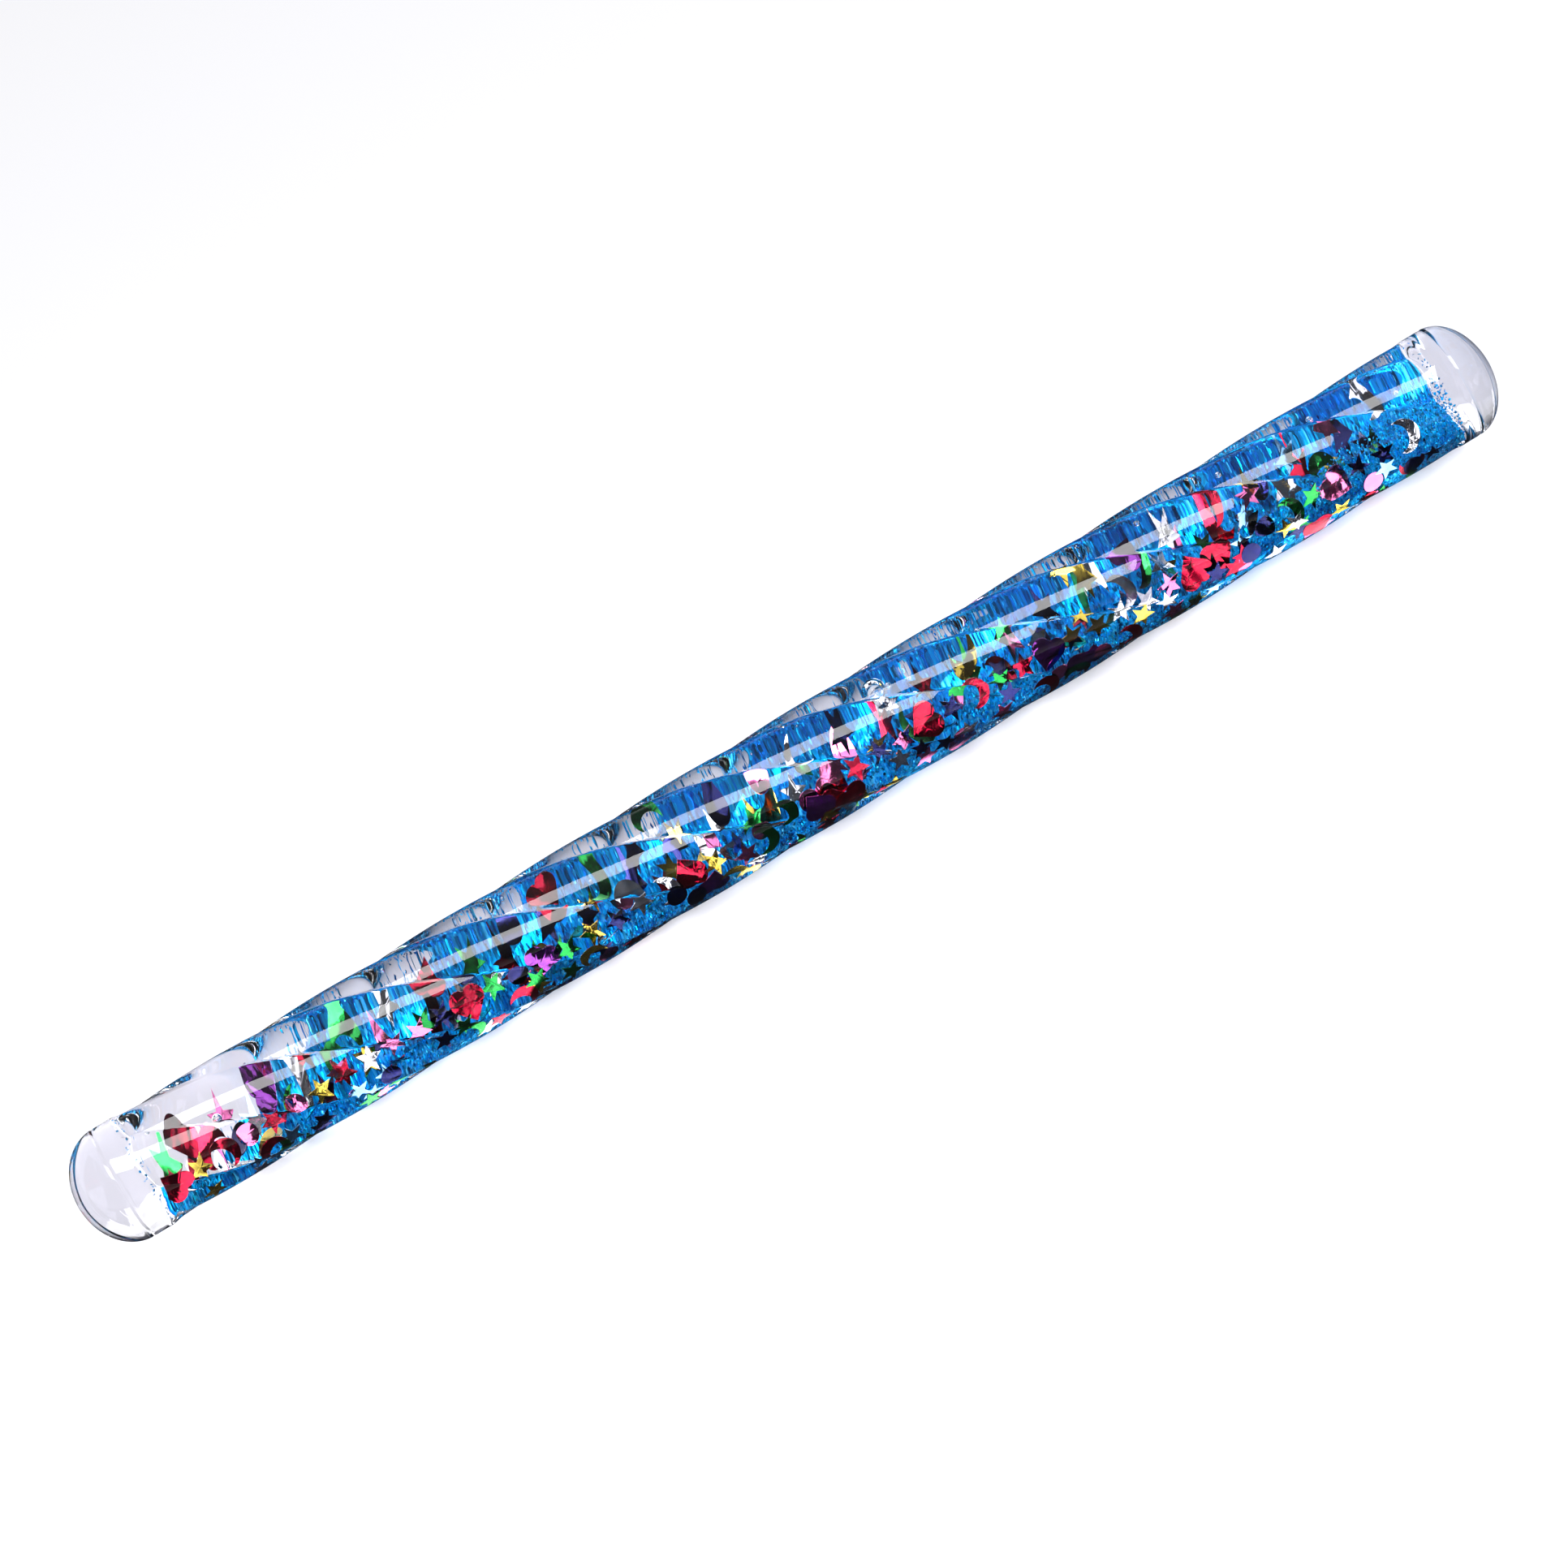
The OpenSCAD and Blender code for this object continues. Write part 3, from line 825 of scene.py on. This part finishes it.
def grain_tree():
    """Scatters flat eight-sided grains over a mesh by its 'coverage', then drops its 'dust' faces."""
    tree, wires, given, out = new_tree(
        "glitter grains",
        "GeometryNodeTree",
        {
            "Geometry": "Geometry",
            "Grain radius": "Float",
            "Density": "Float",
            "Seed": "Int",
            "Glitter": "Material",
        },
        {"Geometry": "Geometry"},
    )
    cover = wires.add("GeometryNodeInputNamedAttribute", {"Name": "coverage"}, data_type="FLOAT")
    density = wires.math("MULTIPLY", given["Density"], cover.outputs["Attribute"])
    points = wires.add(
        "GeometryNodeDistributePointsOnFaces",
        {"Mesh": given["Geometry"], "Density": density, "Seed": given["Seed"]},
    )
    turn = wires.add(
        "FunctionNodeRandomValue",
        {"Max": (math.tau,) * 3, "Seed": given["Seed"]},
        data_type="FLOAT_VECTOR",
    )
    size = wires.add(
        "FunctionNodeRandomValue",
        {"Min": (0.7, 0.7, 0.22), "Max": (1.2, 1.2, 0.4)},
        data_type="FLOAT_VECTOR",
    )
    scaled = wires.add(
        "ShaderNodeVectorMath",
        {0: size.outputs["Value"], "Scale": given["Grain radius"]},
        operation="SCALE",
    )
    grain = wires.add("GeometryNodeMeshUVSphere", {"Segments": 4, "Rings": 2, "Radius": 1.0})
    grains = wires.add(
        "GeometryNodeInstanceOnPoints",
        {
            "Points": points.outputs["Points"],
            "Instance": grain.outputs["Mesh"],
            "Rotation": turn.outputs["Value"],
            "Scale": scaled.outputs["Vector"],
        },
    )
    dust = wires.add("GeometryNodeInputNamedAttribute", {"Name": "dust"}, data_type="BOOLEAN")
    core = wires.add(
        "GeometryNodeDeleteGeometry",
        {"Geometry": given["Geometry"], "Selection": dust.outputs["Attribute"]},
        domain="FACE",
    )
    both = wires.add("GeometryNodeJoinGeometry")
    wires.plug(core.outputs[0], both.inputs[0])
    wires.plug(grains.outputs[0], both.inputs[0])
    real = wires.add("GeometryNodeRealizeInstances", {"Geometry": both.outputs[0]})
    flat = wires.add("GeometryNodeSetShadeSmooth", {"Geometry": real.outputs[0], "Shade Smooth": False})
    finished = wires.add(
        "GeometryNodeSetMaterial", {"Geometry": flat.outputs[0], "Material": given["Glitter"]}
    )
    wires.plug(finished.outputs[0], out.inputs[0])
    return tree


class GLITTERWAND_OT_glitter(bpy.types.Operator):
    """Makes the settled bed of fine blue glitter, and the grains that cling to the wall"""

    bl_idname = "glitter_wand.glitter"
    bl_label = "Glitter"

    def execute(self, context):
        settings = context.scene.glitter_wand.filling
        material = glitter_material(settings)
        tree = grain_tree()
        names = ("glitter_left", "glitter_left_middle", "glitter_right_middle", "glitter_right")
        left, right = CHAMBER_LEFT + 0.2 * MM, CHAMBER_RIGHT - 0.2 * MM
        for k, name in enumerate(names):
            start = left + (right - left) * k / len(names)
            end = left + (right - left) * (k + 1) / len(names)
            glitter = glitter_base(name, start, end)
            apply_nodes(
                glitter,
                tree,
                {
                    "Grain radius": settings.grain_radius,
                    "Density": settings.grain_density,
                    "Seed": settings.seed + k,
                    "Glitter": material,
                },
            )
            hand_over(glitter, CONTENTS, "blue_glitter", "glitter_bed")
        return {"FINISHED"}


# ---- Confetti ----

SMALL_FLAKE = 2.5 * MM  # reach of a flake that leans all the way
PRESSED_MARGIN = 5 * MM  # from a plug to the nearest pressed flake


def islands(bm):
    """The separate flakes in a mesh, each as a list of vertices."""
    left = set(bm.verts)
    while left:
        grown = [left.pop()]
        for vert in grown:
            for edge in vert.link_edges:
                other = edge.other_vert(vert)
                if other in left:
                    left.remove(other)
                    grown.append(other)
        yield grown


def flat_flake(verts, rng):
    """A bmesh of one flake cut into strips, with its middle, its normal and the way across the strips."""
    keep = {vert: k for k, vert in enumerate(sorted(verts, key=lambda vert: vert.index))}
    faces = {face for vert in verts for face in vert.link_faces}
    bm = bmesh.new()
    copies = [bm.verts.new(vert.co) for vert in keep]
    for face in sorted(faces, key=lambda face: face.index):
        bm.faces.new([copies[keep[vert]] for vert in face.verts])
    bmesh.ops.dissolve_limit(bm, angle_limit=math.radians(2), verts=bm.verts, edges=bm.edges)
    normal = max(bm.faces, key=lambda face: face.calc_area()).normal.copy()
    middle = sum((vert.co for vert in bm.verts), Vector()) / len(bm.verts)
    span = max((vert.co - middle).length for vert in bm.verts)
    across = Matrix.Rotation(rng.uniform(0, math.pi), 3, normal) @ normal.orthogonal().normalized()
    cuts = 7
    for k in range(1, cuts + 1):
        offset = span * (2 * k / (cuts + 1) - 1)
        geometry = list(bm.verts) + list(bm.edges) + list(bm.faces)
        bmesh.ops.bisect_plane(bm, geom=geometry, plane_co=middle + across * offset, plane_no=across)
    return bm, middle, normal, across


def bent_flake(verts, settings, rng):
    """One flake in its own place, thinned, leant and bent as if it had been rolled."""
    bm, middle, normal, across = flat_flake(verts, rng)
    span = max((vert.co - middle).length for vert in bm.verts)
    inward = Vector((0, -middle.y, -middle.z))
    up = normal if normal.dot(inward) > 0 else -normal
    radius = settings.bend * rng.uniform(1.0, 3.0)
    lean = settings.lean * rng.uniform(-1, 1) * SMALL_FLAKE / max(span, SMALL_FLAKE)
    turn = Matrix.Rotation(lean, 3, normal.cross(across))
    for vert in bm.verts:
        from_middle = vert.co - middle
        depth = from_middle.dot(normal)
        bent = from_middle - normal * depth * (1 - settings.thickness)
        bent += up * from_middle.dot(across) ** 2 / (2 * radius)
        vert.co = middle + turn @ bent
        reach = math.hypot(vert.co.y, vert.co.z)
        if reach > BED_R:  # it slides in, off the wall
            vert.co.yz *= BED_R / reach
    return bm


def pressed_flake(verts, settings, rng):
    """A like flake that the glitter presses flat on the lower front wall."""
    bm, middle, normal, across = flat_flake(verts, rng)
    sideways = normal.cross(across)
    x = rng.uniform(CHAMBER_LEFT + PRESSED_MARGIN, CHAMBER_RIGHT - PRESSED_MARGIN)
    turn = -math.radians(rng.uniform(34, 84))
    radius = BED_R - rng.uniform(0, 0.3) * MM
    for vert in bm.verts:
        from_middle = vert.co - middle
        height = from_middle.dot(normal) * settings.thickness
        swing = turn + from_middle.dot(across) / radius
        vert.co = round_point(x + from_middle.dot(sideways), radius + height, swing)
    return bm


def make_flakes(node, foil, body, material, settings, rng):
    """The flakes of one CAD node, as one piece."""
    source = bmesh.new()
    source.from_mesh(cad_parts[node].data)
    bmesh.ops.remove_doubles(source, verts=source.verts, dist=1e-6)
    source.verts.index_update()
    source.faces.index_update()
    whole = bmesh.new()
    flakes = sorted(islands(source), key=lambda verts: min(vert.co.x for vert in verts))
    made = [bent_flake(verts, settings, rng) for verts in flakes]
    if body == CONTENTS:
        pressed = [verts for verts in flakes if rng.random() < settings.pressed]
        made += [pressed_flake(verts, settings, rng) for verts in pressed]
    for flake in made:
        one = bpy.data.meshes.new("flake")
        flake.to_mesh(one)
        flake.free()
        whole.from_mesh(one)
        bpy.data.meshes.remove(one)
    source.free()
    bmesh.ops.recalc_face_normals(whole, faces=whole.faces)
    piece = finish_mesh(mesh_object(node + "_foil", whole), (material,))
    hand_over(piece, body, foil, node)


class GLITTERWAND_OT_confetti(bpy.types.Operator):
    """Makes the stars, moons, hearts, dots and diamonds of metallic foil"""

    bl_idname = "glitter_wand.confetti"
    bl_label = "Confetti"

    def execute(self, context):
        settings = context.scene.glitter_wand.foils
        rng = random.Random(context.scene.glitter_wand.filling.seed)
        finishes = {foil: foil_material(foil, getattr(settings, foil)) for foil in FOILS}
        for foil, nodes in FOILS.items():
            for node in nodes:
                make_flakes(node, foil, CONTENTS, finishes[foil], settings, rng)
        for node, (foil, body) in DRIFTING.items():
            make_flakes(node, foil, body, finishes[foil], settings, rng)
        return {"FINISHED"}


# ---- Studio ----


def make_floor(settings):
    """A wide pale floor just under the wand."""
    half_width, gap = 3.0, 0.01 * MM
    bm = bmesh.new()
    for x, y in ((-1, -1), (1, -1), (1, 1), (-1, 1)):
        bm.verts.new((x * half_width, y * half_width, -COLLAR_R - gap))
    bm.faces.new(bm.verts)
    floor = mesh_object("floor", bm)
    floor.data.materials.append(floor_material(settings))
    floor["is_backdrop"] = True


def floor_material(settings):
    """Plain and pale to the camera. Reflections see it dark, and foils see bright cards on it."""
    material, wires, shader, out = new_material("pale floor")
    shader.inputs["Base Color"].default_value = (*settings.floor, 1.0)
    shader.inputs["Roughness"].default_value = 0.9
    path = wires.add("ShaderNodeLightPath").outputs
    lit = wires.math("MULTIPLY", path["Is Camera Ray"], 0.35)
    shader.inputs["Emission Color"].default_value = (1.0, 1.0, 1.0, 1.0)
    wires.plug(lit, shader.inputs["Emission Strength"])

    dark = wires.add("ShaderNodeBsdfDiffuse", {"Color": (0.03, 0.03, 0.035, 1.0)})
    cards = wires.add("ShaderNodeTexNoise", {"Vector": place(wires), "Scale": 55.0, "Detail": 0.0})
    card = wires.smooth_step(cards.outputs["Fac"], 0.52, 0.56)
    glow = wires.math("MULTIPLY", wires.math("MULTIPLY", card, path["Is Transmission Ray"]), 4.0)
    lamp = wires.add("ShaderNodeEmission", {"Strength": glow})
    mirrored = wires.add("ShaderNodeAddShader", {0: dark.outputs[0], 1: lamp.outputs[0]})
    reflected = wires.math("MINIMUM", path["Glossy Depth"], 1.0)
    mixed = wires.add(
        "ShaderNodeMixShader", {0: reflected, 1: shader.outputs[0], 2: mirrored.outputs[0]}
    )
    wires.plug(mixed.outputs[0], out.inputs["Surface"])
    return material


def make_world():
    """Studio walls that are pale near the floor and dark above it, with panels that the foils see."""
    world = bpy.data.worlds.new("studio")
    world.use_nodes = True
    wires = Wiring(world.node_tree)
    background = world.node_tree.nodes["Background"]
    way = wires.add("ShaderNodeTexCoord").outputs["Generated"]
    height = wires.add("ShaderNodeSeparateXYZ", {0: way}).outputs["Z"]
    ramp = wires.add("ShaderNodeValToRGB", {"Fac": height})
    stops = ramp.color_ramp.elements
    stops[0].color = (0.60, 0.60, 0.62, 1.0)
    stops[1].color = (0.30, 0.30, 0.32, 1.0)
    middle = stops.new(0.3)
    middle.color = (0.10, 0.10, 0.12, 1.0)
    wires.plug(ramp.outputs["Color"], background.inputs["Color"])

    # Only rays that a foil has reflected out through the tube see the panels
    path = wires.add("ShaderNodeLightPath").outputs
    from_foil = wires.math("MINIMUM", path["Glossy Depth"], path["Is Transmission Ray"])
    panels = wires.add("ShaderNodeTexNoise", {"Vector": way, "Scale": 2.6, "Detail": 0.0})
    panel = wires.smooth_step(panels.outputs["Fac"], 0.5, 0.54)
    brightness = wires.math("ADD", wires.math("MULTIPLY", panel, 8.0), 0.2)
    change = wires.math("SUBTRACT", brightness, 1.0)
    strength = wires.math("MULTIPLY_ADD", change, from_foil, 1.0)
    wires.plug(strength, background.inputs["Strength"])
    bpy.context.scene.world = world


def add_softbox(name, place_at, size, size_y, power):
    """A rectangular soft light that faces the wand's middle."""
    light = bpy.data.lights.new(name, "AREA")
    light.shape = "RECTANGLE"
    light.size = size
    light.size_y = size_y
    light.energy = power
    lamp = bpy.data.objects.new(name, light)
    lamp.location = place_at
    lamp.rotation_euler = (-Vector(place_at)).to_track_quat("-Z", "Y").to_euler()
    bpy.context.scene.collection.objects.link(lamp)


def aim_camera(settings):
    """The camera looks down on the wand from the front, rolled so that the wand rises to the right."""
    level = math.cos(settings.elevation)
    back = Vector(
        (
            -math.sin(settings.swing) * level,
            -math.cos(settings.swing) * level,
            math.sin(settings.elevation),
        )
    )
    axis = Vector((1, 0, 0))
    seen_axis = (axis - back * axis.dot(back)).normalized()
    seen_up = back.cross(seen_axis)
    right = seen_axis * math.cos(settings.roll) - seen_up * math.sin(settings.roll)
    up = back.cross(right)
    camera = bpy.data.objects.new("camera", bpy.data.cameras.new("camera"))
    camera.data.lens = settings.focal_length
    turn = Matrix((right, up, back)).transposed()
    aim = 1.3 * MM  # the camera aims this far to the left of the wand's middle
    target = Vector(((LEFT_TIP + RIGHT_TIP) / 2 - aim, 0, 0))
    camera.matrix_world = Matrix.Translation(target + back * settings.distance) @ turn.to_4x4()
    bpy.context.scene.collection.objects.link(camera)
    bpy.context.scene.camera = camera


class GLITTERWAND_OT_stage(bpy.types.Operator):
    """Sets up the pale floor, the studio lights and the camera"""

    bl_idname = "glitter_wand.stage"
    bl_label = "Stage"

    def execute(self, context):
        settings = context.scene.glitter_wand.studio
        make_floor(settings)
        make_world()
        add_softbox("overhead strip", (-0.05, -0.32, 1.05), 0.85, 0.58, settings.softbox_power)
        aim_camera(settings)
        scene = context.scene
        scene.view_settings.view_transform = "Standard"
        scene.cycles.max_bounces = 24
        scene.cycles.transmission_bounces = 20
        scene.cycles.transparent_max_bounces = 32
        scene.cycles.use_denoising = True
        return {"FINISHED"}


# ---- Add-on ----


class GLITTERWAND_PT_sidebar(bpy.types.Panel):
    """Lists the wand's sizes and colours, and the buttons that build its pieces"""

    bl_idname = "GLITTERWAND_PT_sidebar"
    bl_label = "Glitter Wand"
    bl_space_type = "VIEW_3D"
    bl_region_type = "UI"
    bl_category = "Glitter Wand"

    def draw(self, context):
        settings = context.scene.glitter_wand
        for group in (settings.acrylic, settings.filling, settings.foils, settings.studio):
            box = self.layout.box()
            for name in group.bl_rna.properties.keys():
                if name not in ("rna_type", "name"):
                    box.prop(group, name)
        for operator in OPERATORS:
            self.layout.operator(operator.bl_idname)


OPERATORS = (
    GLITTERWAND_OT_tube,
    GLITTERWAND_OT_plugs,
    GLITTERWAND_OT_oil,
    GLITTERWAND_OT_glitter,
    GLITTERWAND_OT_confetti,
    GLITTERWAND_OT_stage,
)
CLASSES = (
    GLITTERWAND_PG_acrylic,
    GLITTERWAND_PG_filling,
    GLITTERWAND_PG_foils,
    GLITTERWAND_PG_studio,
    GLITTERWAND_PG_settings,
    *OPERATORS,
    GLITTERWAND_PT_sidebar,
)


def register():
    for cls in CLASSES:
        bpy.utils.register_class(cls)
    bpy.types.Scene.glitter_wand = PointerProperty(type=GLITTERWAND_PG_settings)


def unregister():
    del bpy.types.Scene.glitter_wand
    for cls in reversed(CLASSES):
        bpy.utils.unregister_class(cls)


def main():
    register()
    bpy.ops.glitter_wand.tube()
    bpy.ops.glitter_wand.plugs()
    bpy.ops.glitter_wand.oil()
    bpy.ops.glitter_wand.glitter()
    bpy.ops.glitter_wand.confetti()
    bpy.ops.glitter_wand.stage()
    boxes = {"cad": CAD_BOX, "visual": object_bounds()}
    {name: [list(corner) for corner in box] for name, box in boxes.items()}


if __name__ == "__main__":
    main()
